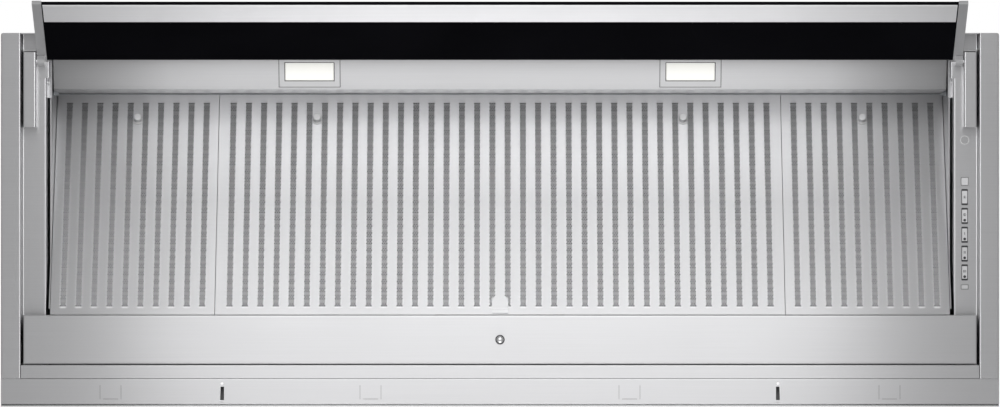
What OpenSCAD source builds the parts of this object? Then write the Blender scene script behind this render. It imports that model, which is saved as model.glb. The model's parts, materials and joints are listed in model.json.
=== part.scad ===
// Range hood insert, 120 cm class, for building into a cabinet.
// Millimetres. +Z up, -Y towards the user, +X to the side with the buttons.
// The origin is the centre of the frame, on the underside of its flange.

/* [Frame] */
// Overall width over the two side flanges
frame_w = 1198; // [1150:2:1240]
// Overall depth of the frame without the rear hem
frame_d = 446; // [436:1:460]
// Width of each side flange
flange_w = 24; // [20:1:28]
// Width of the rear flange
rear_flange_w = 31.3; // [29:0.1:34]
// Width of the strip in front of the rear flange
rear_rail_w = 16.2; // [14:0.1:18]
// Depth of the rear cover panel
cover_d = 58.6; // [50:0.1:64]
// Height of the recessed channel above the flange
channel_h = 21; // [20:0.5:24]
// Width of the recessed channel
channel_w = 29.5; // [28.5:0.1:31]
// Width of the channel along the front edge
front_channel_w = 18; // [17:0.5:19]
// Thickness of the frame sheet
sheet_t = 1.2; // [1:0.1:1.4]
// Outside radius of the sheet bends
bend_r = 2; // [1.8:0.1:2.4]
// Outside radius of the tight bends beside the rear seam
seam_bend_r = 1.4; // [1.3:0.1:2]
// Radius of the flange corners seen from below
corner_r = 3; // [1:0.5:5]

/* [Body] */
// Height of the filter box above the flange
box_h = 180; // [178:1:190]
// Width of the blower box on top
blower_box_w = 380; // [340:2:420]
// Depth of the blower box
blower_box_d = 242; // [236:1:250]
// Height of the blower box
blower_box_h = 119; // [116:1:126]
// Diameter of the duct collar
collar_dia = 150; // [146:1:152]
// Height of the duct collar
collar_h = 45; // [40:1:60]

/* [Lights] */
// Depth of the lit panel, measured level
light_run = 49; // [46:0.5:51]
// Rise of the lit panel from front to rear
light_rise = 17.4; // [14:0.2:20]
// Distance of each lamp from the middle
lamp_x = 230.2; // [180:1:300]
// Width of the lamp bezel
bezel_w = 72.5; // [66:0.5:80]
// Length of the lamp bezel along the panel
bezel_l = 38.4; // [34:0.2:40]
// Width of the lamp lens
lens_w = 58.3; // [50:0.1:60]
// Length of the lamp lens along the panel
lens_l = 22; // [18:0.5:25]

/* [Filters] */
// Height of the front edge of the filters
filter_front_z = 163; // [158:1:164]
// Height of the rear edge of the filters
filter_rear_z = 13.4; // [12:0.2:16]
// Upright thickness of a filter
filter_t = 10.3; // [8:0.1:11]
// Width of the centre filter
centre_filter_w = 686; // [680:1:690]
// Distance from one perforated band to the next
band_pitch = 18.6; // [17:0.1:18.8]
// Width of a perforated band
band_w = 8.2; // [6:0.1:10]
// Number of bands in the centre filter
centre_bands = 36; // [20:2:36]
// Number of bands in each side filter
side_bands = 10; // [6:1:10]
// Diameter of the round filter grips
grip_dia = 9.5; // [8:0.5:12]
// Height of the round filter grips
grip_h = 11; // [8:0.5:14]

/* [Visor] */
// Length of the visor from its root to its free edge
visor_l = 127; // [120:1:132]
// Thickness of the visor glass
glass_t = 4; // [3:0.5:4]
// Width of the steel grip strip
strip_w = 38; // [30:1:44]
// Width of each visor arm
arm_w = 11.2; // [9:0.2:11.4]
// Thickness of each visor arm
arm_t = 5.2; // [5:0.1:6]
// Opening angle of the visor
visor_open_a = 120; // [110:1:122]
// Diameter of the hinge pins
pin_dia = 6; // [4:0.5:7]

/* [Controls] */
// Length of a button
button_l = 15; // [12:0.5:17]
// Width of a button
button_w = 6.2; // [5:0.1:8]
// Distance from one button to the next
button_pitch = 22.65; // [22:0.05:24]
// Travel of a button
button_travel = 1.5; // [1:0.1:1.8]

/* [Blower] */
// Outer radius of the impeller
impeller_r = 60; // [56:1:62]
// Number of impeller blades
blade_count = 32; // [24:1:36]
// Radius of the scroll at its tongue
scroll_r0 = 68; // [66:1:70]
// Radius of the scroll where the outlet starts
scroll_r1 = 105; // [100:1:106]

/* [Hidden] */

// Overrun of every cut, and the clearances that the pieces share
cut = 1;
fit_gap = 0.3;
seam_gap = 0.2;
run_gap = 0.05;
$fn = 64;

// Frame lines: half widths in X, and the places in Y of the long edges
hem_h = 3;
x_out = frame_w / 2;
x_web = x_out - flange_w;
x_lip = x_web - channel_w;
lip_h = 40;
lip_top = channel_h + lip_h;
floor_top = channel_h + sheet_t;
y_front = -frame_d / 2;
y_rear = frame_d / 2;
y_fwall = y_front + front_channel_w;
y_seam = y_rear - rear_flange_w;
y_rail = y_seam - rear_rail_w;
y_cover_rear = y_rail - sheet_t;
y_cover_front = y_cover_rear - cover_d;
x_wall = x_lip + sheet_t;
x_wall_out = x_wall + sheet_t;
cover_side_gap = 2.5;
x_cover = x_web - cover_side_gap;
rear_hem_w = 2.4;

// Lit panel and filter slope
light_z0 = 49.6;
light_lip = 11;
light_wall_run = 3.2;
front_gap = 1.8;
panel_t = 1;
steel_t = 1;
ledge_inset = 4;
x_filter_gap = 0.8;
y_light = y_fwall + light_run;
z_light = light_z0 + light_rise;
light_a = atan2(light_rise, light_run);
filter_front_y = y_light + light_wall_run + front_gap;
filter_rear_y = y_cover_front - fit_gap - seam_gap;
slope_a = atan2(filter_front_z - filter_rear_z, filter_rear_y - filter_front_y);
slope_l = norm([filter_front_z - filter_rear_z, filter_rear_y - filter_front_y]);
x_ledge = x_lip - ledge_inset;
x_filter = x_ledge - x_filter_gap;
x_light = x_ledge - front_gap;
x_split = centre_filter_w / 2;

// Height of the filters' lower face above a place in Y
function slope_z(y) = filter_front_z - (y - filter_front_y) * tan(slope_a);

// A bent sheet is drawn by the line of its visible face, with its thickness on the right
function unit_of(v) = v / norm(v);
function right_of(v) = [v[1], -v[0]];
function turn_of(a, b) = atan2(a[0] * b[1] - a[1] * b[0], a * b);
function spun(v, a) = [v[0] * cos(a) - v[1] * sin(a), v[0] * sin(a) + v[1] * cos(a)];
function bend(a, b, c, r, n) = let(
    d1 = unit_of(b - a),
    d2 = unit_of(c - b),
    turn = turn_of(d1, d2),
    side = sign(turn),
    start = b - d1 * r * tan(abs(turn) / 2),
    centre = start - right_of(d1) * side * r
) [for (i = [0:n]) centre + spun(start - centre, turn * i / n)];
function rounded(p, r = bend_r, n = 4) = [
    p[0],
    for (i = [1:len(p) - 2]) each bend(p[i - 1], p[i], p[i + 1], r, n),
    p[len(p) - 1]
];
function offset_point(p, i, t) = let(
    last = len(p) - 1,
    n1 = right_of(unit_of(i == 0 ? p[1] - p[0] : p[i] - p[i - 1])),
    n2 = right_of(unit_of(i == last ? p[last] - p[last - 1] : p[i + 1] - p[i]))
) p[i] + t * (n1 + n2) / (1 + n1 * n2);
function ribbon(p, t) = concat(p, [for (i = [len(p) - 1:-1:0]) offset_point(p, i, t)]);

// Extrusions between two places along X, Y or Z
module along_x(x0, x1) {
    translate([x0, 0, 0]) rotate([90, 0, 90]) linear_extrude(height = x1 - x0) children();
}
module along_y(y0, y1) {
    translate([0, y1, 0]) rotate([90, 0, 0]) linear_extrude(height = y1 - y0) children();
}
module along_z(z0, z1) {
    translate([0, 0, z0]) linear_extrude(height = z1 - z0) children();
}
module block(low, high) {
    translate(low) cube(high - low);
}
module mirrored() {
    mirror([1, 0, 0]) children();
}
module both_sides() {
    children();
    mirrored() children();
}
// Rectangle with round corners, centred
module plate_2d(w, l, r) {
    hull_x = w / 2 - r;
    hull_y = l / 2 - r;
    square([w, l - 2 * r], center = true);
    square([w - 2 * r, l], center = true);
    for (x = [-hull_x, hull_x], y = [-hull_y, hull_y]) translate([x, y]) circle(r);
}
// Frame on the filter slope: origin at the front lower edge, +Y down the slope, +Z up from it
module on_slope() {
    translate([0, filter_front_y, filter_front_z]) rotate([-slope_a, 0, 0]) children();
}
// Frame on the lit panel: origin at its front edge, +Y up the panel, +Z into the body
module on_light() {
    translate([0, y_fwall, light_z0]) rotate([light_a, 0, 0]) children();
}

// Control strip: the places along Y of the five buttons, the two windows and the plug
control_inset = 13.5;
x_control = x_lip + control_inset;
button_mid_y = 19.3;
button_count = 5;
pocket_w = 7.8;
pocket_rim = 2.2;
pocket_l = button_l + 2 * pocket_rim;
pocket_r = 1;
window_w = 9.5;
window_big_l = 10.5;
window_small_l = 6.2;
window_lead_y = 18.9;
window_tail_y = 17.5;
window_big_y = button_mid_y - 2 * button_pitch - window_lead_y;
window_small_y = button_mid_y + 2 * button_pitch + window_tail_y;
plug_dia = 10.4;
plug_setback = 128.4;
plug_y = y_front + plug_setback;
plug_hole_dia = 8;
plug_head_t = 0.6;
function button_y(i) = button_mid_y + (i - 2) * button_pitch;

// Height of the whole body and the place of the blower
y_wall_rear = y_seam - seam_gap;
y_wall_front = y_fwall - sheet_t;
z_wall = floor_top + bend_r;
blower_front_share = 0.38;
y_blower0 = -blower_front_share * blower_box_d;
y_blower1 = y_blower0 + blower_box_d;
x_blower = blower_box_w / 2;
z_plate = box_h + sheet_t;
z_top = z_plate + blower_box_h;
blower_flange_w = 12;

// Windows and holes of the control strip, cut through the channel floor
module control_windows() {
    along_z(channel_h - cut, floor_top + cut) {
        for (i = [0:button_count - 1]) {
            translate([x_control, button_y(i)]) plate_2d(pocket_w, pocket_l, pocket_r);
        }
        translate([x_control, window_big_y]) plate_2d(window_w, window_big_l, pocket_r);
        translate([x_control, window_small_y]) plate_2d(window_w, window_small_l, pocket_r);
        translate([x_control, plug_y]) circle(d = plug_hole_dia);
    }
}

// Side rail on the +X side: hem, flange, web, channel floor and lip from one sheet
module side_rail(controls) {
    profile = rounded([[x_out, hem_h], [x_out, 0], [x_web, 0], [x_web, channel_h],
        [x_lip, channel_h], [x_lip, lip_top]]);
    difference() {
        along_y(y_front, y_wall_rear) polygon(ribbon(profile, sheet_t));
        translate([x_out - corner_r, y_front + corner_r, -cut]) difference() {
            block([0, -corner_r - cut, 0], [corner_r + cut, 0, hem_h + 2 * cut]);
            cylinder(r = corner_r, h = hem_h + 2 * cut);
        }
        if (controls) control_windows();
    }
}
module side_rail_left() {
    color("silver") mirrored() side_rail(false);
}
module side_rail_right() {
    color("silver") side_rail(true);
}

// Front rail: skin, channel floor and the lip that backs onto the front wall
module front_rail() {
    profile = rounded([[y_front, 0], [y_front, floor_top], [y_wall_front, floor_top],
        [y_wall_front, lip_top]]);
    color("silver") {
        along_x(-x_lip + fit_gap, x_lip - fit_gap) polygon(ribbon(profile, sheet_t));
        both_sides() along_y(y_front, y_front + sheet_t) polygon([
            [x_lip - 2 * fit_gap, 0], [x_web, 0], [x_web, channel_h - bend_r],
            [x_web - bend_r, channel_h], [x_lip - 2 * fit_gap, channel_h]
        ]);
    }
}

// Rear rail: the strip between the cover panel and the rear flange
rear_rail_h = 14;
module rear_rail() {
    profile = rounded([[y_wall_rear, 0], [y_rail, 0], [y_rail, rear_rail_h]], seam_bend_r);
    color("silver") along_x(-x_web, x_web) polygon(ribbon(profile, sheet_t));
}

// Rear flange: full width, with stamped tabs, screw holes, slots and a hem along its rear edge
rear_up_h = 20;
rear_turn_h = 8;
hem_groove = 0.9;
hem_z = 0.5;
tab_inner_x = 155.4;
tab_outer_x = 467.4;
tab_w = 25.2;
tab_line_w = 0.7;
tab_line_depth = 0.4;
tab_line_y0 = 8;
tab_line_l = 17;
tab_foot_w = 18;
tab_foot_y = 24.6;
keyhole_x = 333.6;
keyhole_dia = 3.1;
keyhole_y = 6;
slot_w = 4.9;
slot_l = 16.8;
slot_y = 18.2;
half_hole_y = 28;
tongue_w = 4.7;
tongue_foot_y = 29.2;
tongue_tip_y = 10;
tongue_tip_z = 12;
tongue_sink = 0.2;
module tab_lines() {
    for (side = [-1, 1]) translate([side * tab_w / 2, tab_line_y0 + tab_line_l / 2]) {
        square([tab_line_w, tab_line_l], center = true);
    }
    translate([0, tab_foot_y]) square([tab_foot_w, tab_line_w], center = true);
}
module rear_flange() {
    profile = rounded([[y_rear, rear_turn_h], [y_rear, 0], [y_seam, 0], [y_seam, rear_up_h]], seam_bend_r);
    color("silver") difference() {
        union() {
            along_x(-x_out, x_out) polygon(ribbon(profile, sheet_t));
            block([-x_out, y_rear - sheet_t, rear_turn_h - sheet_t],
                [x_out, y_rear + rear_hem_w, rear_turn_h]);
            block([-x_out, y_rear + hem_groove, hem_z], [x_out, y_rear + rear_hem_w, rear_turn_h]);
            for (x = [-keyhole_x, keyhole_x]) translate([x, y_seam, sheet_t - tongue_sink]) {
                along_x(-tongue_w / 2, tongue_w / 2) polygon(ribbon([[tongue_foot_y, 0],
                    [slot_y + slot_l / 2, 0], [tongue_tip_y, tongue_tip_z]], sheet_t));
            }
        }
        for (x = [-tab_outer_x, -tab_inner_x, tab_inner_x, tab_outer_x]) {
            translate([x, y_seam, 0]) along_z(-cut, tab_line_depth) tab_lines();
        }
        for (x = [-keyhole_x, keyhole_x]) translate([x, y_seam, 0]) {
            along_z(-cut, sheet_t) {
                translate([0, keyhole_y]) circle(d = keyhole_dia);
                translate([0, slot_y]) square([slot_w, slot_l], center = true);
            }
            along_z(-cut, sheet_t - tongue_sink) translate([0, half_hole_y]) intersection() {
                circle(d = keyhole_dia);
                translate([-keyhole_dia / 2, 0]) square(keyhole_dia);
            }
        }
    }
}

// Shallow pan with its open side up and round bottom edges
function u_outline(a0, a1, h, r, inset) = rounded(
    [[a1 - inset, h], [a1 - inset, inset], [a0 + inset, inset], [a0 + inset, h]], r - inset);
module pan(x, y0, y1, h, t) {
    difference() {
        intersection() {
            along_x(-x, x) polygon(u_outline(y0, y1, h, bend_r, 0));
            along_y(y0, y1) polygon(u_outline(-x, x, h, bend_r, 0));
        }
        intersection() {
            along_x(-x, x) polygon(u_outline(y0, y1, h + cut, bend_r, t));
            along_y(y0, y1) polygon(u_outline(-x, x, h + cut, bend_r, t));
        }
    }
}

// Rear cover panel over the electronics, held by one domed screw in the middle
cover_h = 12;
cover_t = 1.2;
screw_y = y_cover_front + cover_d / 2;
screw_shank_dia = 5;
screw_washer_dia = 11.2;
screw_washer_t = 0.8;
screw_dome_dia = 7.8;
screw_dome_h = 2;
screw_boss_dia = 12;
screw_boss_z = 14;
screw_l = 22;
module rear_cover_panel() {
    color("silver") difference() {
        pan(x_cover, y_cover_front, y_cover_rear, cover_h, cover_t);
        translate([0, screw_y, -cut]) cylinder(d = screw_shank_dia + 2 * fit_gap, h = cover_t + 2 * cut);
    }
}
module cover_screw() {
    dome_r = (screw_dome_dia * screw_dome_dia / 4 + screw_dome_h * screw_dome_h) / (2 * screw_dome_h);
    color("gainsboro") translate([0, screw_y, 0]) {
        translate([0, 0, -screw_washer_t]) cylinder(d = screw_washer_dia, h = screw_washer_t);
        cylinder(d = screw_shank_dia, h = screw_l);
        intersection() {
            translate([0, 0, dome_r - screw_dome_h - screw_washer_t]) sphere(r = dome_r);
            translate([0, 0, -screw_dome_h - screw_washer_t]) {
                cylinder(d = screw_washer_dia, h = screw_dome_h);
            }
        }
    }
}

// Electronics tray: the shelf that closes the space above the rear cover
tray_gap = 2.4;
tray_z0 = 3;
tray_top = 60;
module electronics_tray() {
    y_tray = y_cover_front + tray_gap;
    profile = rounded([[y_tray, tray_z0], [y_tray, tray_top], [y_wall_rear - sheet_t, tray_top]]);
    color("lightgray") difference() {
        union() {
            along_x(-x_lip, x_lip) polygon(ribbon(profile, sheet_t));
            translate([0, screw_y, screw_boss_z]) {
                cylinder(d = screw_boss_dia, h = tray_top - screw_boss_z - sheet_t / 2);
            }
        }
        translate([0, screw_y, screw_boss_z - cut]) {
            cylinder(d = screw_shank_dia + 2 * run_gap, h = screw_l - screw_boss_z + 2 * cut);
        }
    }
}

// Walls of the filter box: their lower edges lap the rails' lips from behind
module side_wall() {
    color("lightgray") block([x_wall, y_wall_front - sheet_t, z_wall], [x_wall_out, y_wall_rear, box_h]);
}
module side_wall_left() {
    mirrored() side_wall();
}
module side_wall_right() {
    side_wall();
}
module cross_wall(y0, z0) {
    color("lightgray") {
        block([-x_lip, y0, z0], [x_lip, y0 + sheet_t, lip_top]);
        block([-x_wall, y0, lip_top], [x_wall, y0 + sheet_t, box_h]);
    }
}
module front_wall() {
    cross_wall(y_wall_front - sheet_t, z_wall);
}
module rear_wall() {
    cross_wall(y_wall_rear - sheet_t, sheet_t);
}
module top_plate() {
    color("lightgray") along_z(box_h, z_plate) difference() {
        translate([-x_wall_out, y_wall_front - sheet_t]) {
            square([2 * x_wall_out, y_wall_rear - y_wall_front + sheet_t]);
        }
        translate([-x_blower + blower_flange_w, y_blower0 + blower_flange_w]) {
            square([blower_box_w - 2 * blower_flange_w, blower_box_d - 2 * blower_flange_w]);
        }
    }
}

// Blower box: a deep-drawn cover with a flange, open below, with the outlet hole in its top
outlet_rim = 3;
module blower_box() {
    color("lightgray") difference() {
        union() {
            block([-x_blower, y_blower0, z_plate], [x_blower, y_blower1, z_top]);
            block([-x_blower - blower_flange_w, y_blower0 - blower_flange_w, z_plate],
                [x_blower + blower_flange_w, y_blower1 + blower_flange_w, z_plate + sheet_t]);
        }
        block([-x_blower + sheet_t, y_blower0 + sheet_t, z_plate - cut],
            [x_blower - sheet_t, y_blower1 - sheet_t, z_top - sheet_t]);
        translate([0, 0, z_top - sheet_t - cut]) {
            cylinder(d = collar_dia - 2 * outlet_rim, h = sheet_t + 2 * cut);
        }
    }
}

// Duct collar with its flange and the ring that the closed flaps rest on
collar_r = collar_dia / 2;
collar_in_r = collar_r - sheet_t;
collar_flange_w = 13;
collar_flange_r = collar_r + collar_flange_w;
axle_rise = 17;
z_axle = z_top + axle_rise;
axle_dia = 3;
flap_t = 1;
flap_gap = 1.3;
stop_w = 3.5;
module duct_collar() {
    z_ring = axle_rise - flap_t / 2 - fit_gap;
    color("lightgray") difference() {
        translate([0, 0, z_top]) rotate_extrude() polygon([
            [collar_in_r, 0], [collar_flange_r, 0], [collar_flange_r, sheet_t], [collar_r, sheet_t],
            [collar_r, collar_h], [collar_in_r, collar_h], [collar_in_r, z_ring],
            [collar_in_r - stop_w, z_ring], [collar_in_r - stop_w, z_ring - sheet_t],
            [collar_in_r, z_ring - sheet_t]
        ]);
        translate([0, 0, z_axle]) rotate([0, 90, 0]) {
            cylinder(d = axle_dia + 2 * run_gap, h = 2 * axle_half, center = true);
        }
    }
}
axle_half = collar_in_r - 2 * run_gap;
module damper_axle() {
    color("dimgray") translate([0, 0, z_axle]) rotate([0, 90, 0]) {
        cylinder(d = axle_dia, h = 2 * axle_half, center = true);
    }
}
// A flap is half a disc with two knuckles on the axle; the other flap's knuckles lie between them
knuckle_dia = 5.6;
module flap(side, spans) {
    r_flap = collar_in_r - flap_gap;
    inset = knuckle_dia / 2 + 2 * fit_gap;
    color("darkgray") difference() {
        union() {
            along_z(z_axle - flap_t / 2, z_axle + flap_t / 2) {
                intersection() {
                    circle(r = r_flap);
                    translate([-r_flap, side > 0 ? inset : -inset - r_flap]) square([2 * r_flap, r_flap]);
                }
                for (s = spans) translate([s[0] * r_flap, side > 0 ? 0 : -inset - cut]) {
                    square([(s[1] - s[0]) * r_flap, inset + cut]);
                }
            }
            for (s = spans) translate([s[0] * r_flap, 0, z_axle]) rotate([0, 90, 0]) {
                cylinder(d = knuckle_dia, h = (s[1] - s[0]) * r_flap);
            }
        }
        translate([0, 0, z_axle]) rotate([0, 90, 0]) {
            cylinder(d = axle_dia + 2 * run_gap, h = 2 * collar_r, center = true);
        }
    }
}
front_knuckle_shares = [[-0.84, -0.44], [0.06, 0.4]];
rear_knuckle_shares = [[-0.4, -0.06], [0.44, 0.84]];
module damper_flap_front() {
    flap(-1, front_knuckle_shares);
}
module damper_flap_rear() {
    flap(1, rear_knuckle_shares);
}

// Lit panel: lip on the front wall, lit face, and the steep wall in front of the filters
lamp_setback = 23.2;
lamp_s = light_run / cos(light_a) - lamp_setback;
bezel_lap = 4;
lamp_hole_w = bezel_w - 2 * bezel_lap;
lamp_hole_l = bezel_l - 2 * bezel_lap;
bezel_t = 1.2;
bezel_wall = 1.5;
bezel_r = 2;
bezel_h = 8;
lens_t = 3;
lens_gap = 0.4;
lamp_body_h = 16;
module light_panel() {
    color("silver") difference() {
        along_x(-x_light, x_light) polygon(ribbon(rounded([
            [y_light + light_wall_run, box_h - seam_gap], [y_light, z_light],
            [y_fwall + panel_t, light_z0 + panel_t * tan(light_a)],
            [y_fwall + panel_t, light_z0 - light_lip]
        ]), panel_t));
        on_light() both_sides() translate([lamp_x, lamp_s, -cut]) {
            linear_extrude(height = panel_t + 2 * cut) square([lamp_hole_w, lamp_hole_l], center = true);
        }
    }
}
module at_lamps() {
    on_light() for (x = [-lamp_x, lamp_x]) translate([x, lamp_s, 0]) children();
}
module lamp_bezels() {
    open_w = lens_w + 2 * lens_gap;
    open_l = lens_l + 2 * lens_gap;
    color("silver") at_lamps() difference() {
        union() {
            along_z(-bezel_t, 0) plate_2d(bezel_w, bezel_l, bezel_r);
            along_z(-bezel_t, bezel_h) {
                square([lamp_hole_w - 2 * fit_gap, lamp_hole_l - 2 * fit_gap], center = true);
            }
        }
        along_z(-bezel_t - cut, bezel_h + cut) square([open_w, open_l], center = true);
    }
}
module lamp_lenses() {
    color("ivory") at_lamps() {
        along_z(-bezel_t / 2, lens_t) plate_2d(lens_w, lens_l, bezel_r / 2);
        along_z(lens_t, bezel_h) square([lens_w - 2 * bezel_wall, lens_l - 2 * bezel_wall], center = true);
    }
}
module lamp_housings() {
    color("dimgray") at_lamps() {
        along_z(bezel_h, bezel_h + lamp_body_h) plate_2d(lamp_hole_w, lamp_hole_l, bezel_r);
        for (i = [-2:2]) translate([i * lamp_hole_w / 6, 0]) along_z(bezel_h + lamp_body_h, fin_top) {
            square([bezel_wall, lamp_hole_l - 2 * bezel_r], center = true);
        }
    }
}
fin_top = bezel_h + lamp_body_h + 5 * panel_t;

// Filters: a pressed pan with rows of bands, a pleated mesh inside it and round grips below
band_s0 = 8.7;
band_r = 1.6;
grip_s = 36.5;
grip_side_x = (x_split + x_filter) / 2;
grip_centre_x = 223.2;
grip_neck_dia = 6.5;
grip_base_dia = 10.6;
grip_base_h = 1.6;
grip_head_h = 7;
stud_dia = 4;
stud_l = 3.6;
mesh_rim = 1.3;
pleat_t = 0.8;
pleat_flat = 1.6;
pleat_count = 27;
pleat_s0 = 2.5;
pleat_s1 = slope_l - 7.6;
pleat_low = steel_t + fit_gap + pleat_t;
pleat_high = filter_t * cos(slope_a) - steel_t;
pleat_pitch = (pleat_s1 - pleat_s0) / pleat_count;
pleat_path = [for (i = [0:pleat_count - 1]) let(s = pleat_s0 + i * pleat_pitch) each [
    [s, pleat_low], [s + pleat_flat, pleat_low],
    [s + pleat_pitch / 2, pleat_high], [s + pleat_pitch / 2 + pleat_flat, pleat_high]
]];
filter_seam = 0.35;
function round_rect(w, l, r, n = 3) = [
    for (c = [[1, 1, 0], [-1, 1, 90], [-1, -1, 180], [1, -1, 270]]) for (i = [0:n])
        [c[0] * (w / 2 - r) + r * cos(c[2] + 90 * i / n), c[1] * (l / 2 - r) + r * sin(c[2] + 90 * i / n)]
];
module filter_slab(x0, x1, low, high, rim) {
    along_x(x0, x1) polygon([
        [filter_front_y + rim, slope_z(filter_front_y + rim) + low],
        [filter_rear_y - rim, slope_z(filter_rear_y - rim) + low],
        [filter_rear_y - rim, slope_z(filter_rear_y - rim) + high],
        [filter_front_y + rim, slope_z(filter_front_y + rim) + high]
    ]);
}
module filter_cover(x0, x1, bands, grips) {
    mid = (x0 + x1) / 2;
    color("silver") difference() {
        filter_slab(x0, x1, 0, filter_t, 0);
        filter_slab(x0 + steel_t, x1 - steel_t, steel_t / cos(slope_a), filter_t + cut, steel_t);
        on_slope() translate([0, 0, -cut]) linear_extrude(height = steel_t + 2 * cut) {
            for (i = [0:bands - 1]) translate([mid + (i - (bands - 1) / 2) * band_pitch, slope_l / 2]) {
                polygon(round_rect(band_w, slope_l - 2 * band_s0, band_r));
            }
            for (x = grips) translate([x, grip_s]) circle(d = stud_dia + 2 * run_gap);
        }
    }
}
module filter_mesh(x0, x1, grips) {
    color("dimgray") difference() {
        on_slope() along_x(x0 + mesh_rim, x1 - mesh_rim) polygon(ribbon(pleat_path, pleat_t));
        on_slope() for (x = grips) translate([x, grip_s, -cut]) {
            cylinder(d = grip_base_dia, h = filter_t + 2 * cut);
        }
    }
}
module filter_grip(x) {
    color("gainsboro") on_slope() translate([x, grip_s, 0]) rotate_extrude() polygon([
        [0, -grip_h], [grip_dia / 2 - bezel_t / 2, -grip_h], [grip_dia / 2, -grip_h + bezel_t / 2],
        [grip_dia / 2, -grip_h + grip_head_h], [grip_neck_dia / 2, -grip_h + grip_head_h + bezel_t / 2],
        [grip_neck_dia / 2, -grip_base_h], [grip_base_dia / 2, -grip_base_h], [grip_base_dia / 2, 0],
        [stud_dia / 2, 0], [stud_dia / 2, stud_l], [0, stud_l]
    ]);
}
module left_filter_cover() {
    filter_cover(-x_filter, -x_split - filter_seam, side_bands, [-grip_side_x]);
}
module left_filter_mesh() {
    filter_mesh(-x_filter, -x_split - filter_seam, [-grip_side_x]);
}
module left_filter_grip() {
    filter_grip(-grip_side_x);
}
module centre_filter_cover() {
    x = x_split - filter_seam;
    filter_cover(-x, x, centre_bands, [-grip_centre_x, grip_centre_x]);
}
module centre_filter_mesh() {
    filter_mesh(-x_split + filter_seam, x_split - filter_seam, [-grip_centre_x, grip_centre_x]);
}
module centre_filter_grips() {
    for (x = [-grip_centre_x, grip_centre_x]) filter_grip(x);
}
module right_filter_cover() {
    filter_cover(x_split + filter_seam, x_filter, side_bands, [grip_side_x]);
}
module right_filter_mesh() {
    filter_mesh(x_split + filter_seam, x_filter, [grip_side_x]);
}
module right_filter_grip() {
    filter_grip(grip_side_x);
}
// Pull tab at the rear of the centre filter: a foot on the pan, a joggle and a raised tongue
pull_w = 19.6;
pull_l = 22.8;
pull_foot = 3.5;
pull_run = 2;
pull_drop = 1.3;
pull_t = 1.2;
pull_r = 3;
module centre_filter_tab() {
    s1 = slope_l - pull_t;
    color("silver") on_slope() intersection() {
        along_x(-pull_w / 2, pull_w / 2) polygon(ribbon(rounded([
            [s1, -pull_t], [s1 - pull_foot, -pull_t], [s1 - pull_foot - pull_run, -pull_t - pull_drop],
            [slope_l - pull_l, -pull_t - pull_drop]
        ], pull_t * 1.5, 3), pull_t));
        translate([0, slope_l - pull_l / 2, -pull_drop - 2 * pull_t]) {
            linear_extrude(height = pull_drop + 3 * pull_t) polygon(round_rect(pull_w, pull_l, pull_r));
        }
    }
}

// Ledges that the filters sit against: one on each side and one along the front
ledge_z0 = 49;
ledge_front = 2;
ledge_rear = 7;
ledge_lap = 9;
ledge_tie_z = 110;
ledge_strip_gap = 0.9;
ledge_strip_l = 3;
function ledge_top(y) = slope_z(y) + filter_t + fit_gap;
module filter_ledge() {
    y0 = filter_front_y + ledge_front;
    y1 = filter_rear_y - ledge_rear;
    y_mid = filter_front_y + (filter_front_z - ledge_z0) / tan(slope_a);
    y_tie = filter_front_y + (filter_front_z - ledge_tie_z) / tan(slope_a);
    color("silver") {
        along_x(x_ledge, x_ledge + sheet_t) polygon([
            [y0, ledge_z0], [y_mid, ledge_z0], [y1, slope_z(y1)],
            [y1, ledge_top(y1) + sheet_t], [y0, ledge_top(y0) + sheet_t]
        ]);
        block([x_ledge, y0, ledge_tie_z], [x_wall, y_tie, ledge_tie_z + sheet_t]);
        block([x_light + ledge_strip_gap, y_fwall + panel_t, ledge_z0],
            [x_lip, y0 + ledge_strip_l, ledge_z0 + sheet_t]);
        along_x(x_ledge - ledge_lap, x_ledge + sheet_t) polygon([
            [y0 + ledge_rear, ledge_top(y0 + ledge_rear)], [y1, ledge_top(y1)],
            [y1, ledge_top(y1) + sheet_t], [y0 + ledge_rear, ledge_top(y0 + ledge_rear) + sheet_t]
        ]);
    }
}
module filter_ledge_left() {
    mirrored() filter_ledge();
}
module filter_ledge_right() {
    filter_ledge();
}
front_ledge_y = 3.5;
front_ledge_lap = 20;
module filter_ledge_front() {
    y0 = filter_front_y + front_ledge_y;
    x = x_ledge - ledge_lap - fit_gap;
    color("silver") along_x(-x, x) polygon(ribbon([
        [y0 + front_ledge_lap, ledge_top(y0 + front_ledge_lap)], [y0, ledge_top(y0)],
        [y0, box_h], [y0 + front_ledge_lap, box_h]
    ], sheet_t));
}

// Hinge boxes beside the visor's arms, open at the top where they meet the channel floor
hinge_box_w = 15.6;
hinge_box_setback = 23;
hinge_box_y0 = y_front + hinge_box_setback;
hinge_box_l = 90;
hinge_wall = 1.2;
x_hinge1 = x_web - cover_side_gap;
x_hinge0 = x_hinge1 - hinge_box_w;
visor_setback = 27.7;
pin_run = 6;
pin_rise = 10;
pin_y = y_front + visor_setback + pin_run;
module hinge_box() {
    outline = rounded([[x_hinge1, channel_h], [x_hinge1, 0], [x_hinge0, 0], [x_hinge0, channel_h]]);
    color("silver") difference() {
        union() {
            along_y(hinge_box_y0, hinge_box_y0 + hinge_box_l) polygon(ribbon(outline, hinge_wall));
            along_y(hinge_box_y0, hinge_box_y0 + hinge_wall) polygon(outline);
            along_y(hinge_box_y0 + hinge_box_l - hinge_wall, hinge_box_y0 + hinge_box_l) polygon(outline);
        }
        translate([x_hinge0 - cut, pin_y, pin_rise]) rotate([0, 90, 0]) {
            cylinder(d = pin_dia + 2 * run_gap, h = hinge_wall + 2 * cut);
        }
    }
}
module hinge_box_left() {
    mirrored() hinge_box();
}
module hinge_box_right() {
    hinge_box();
}
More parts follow.
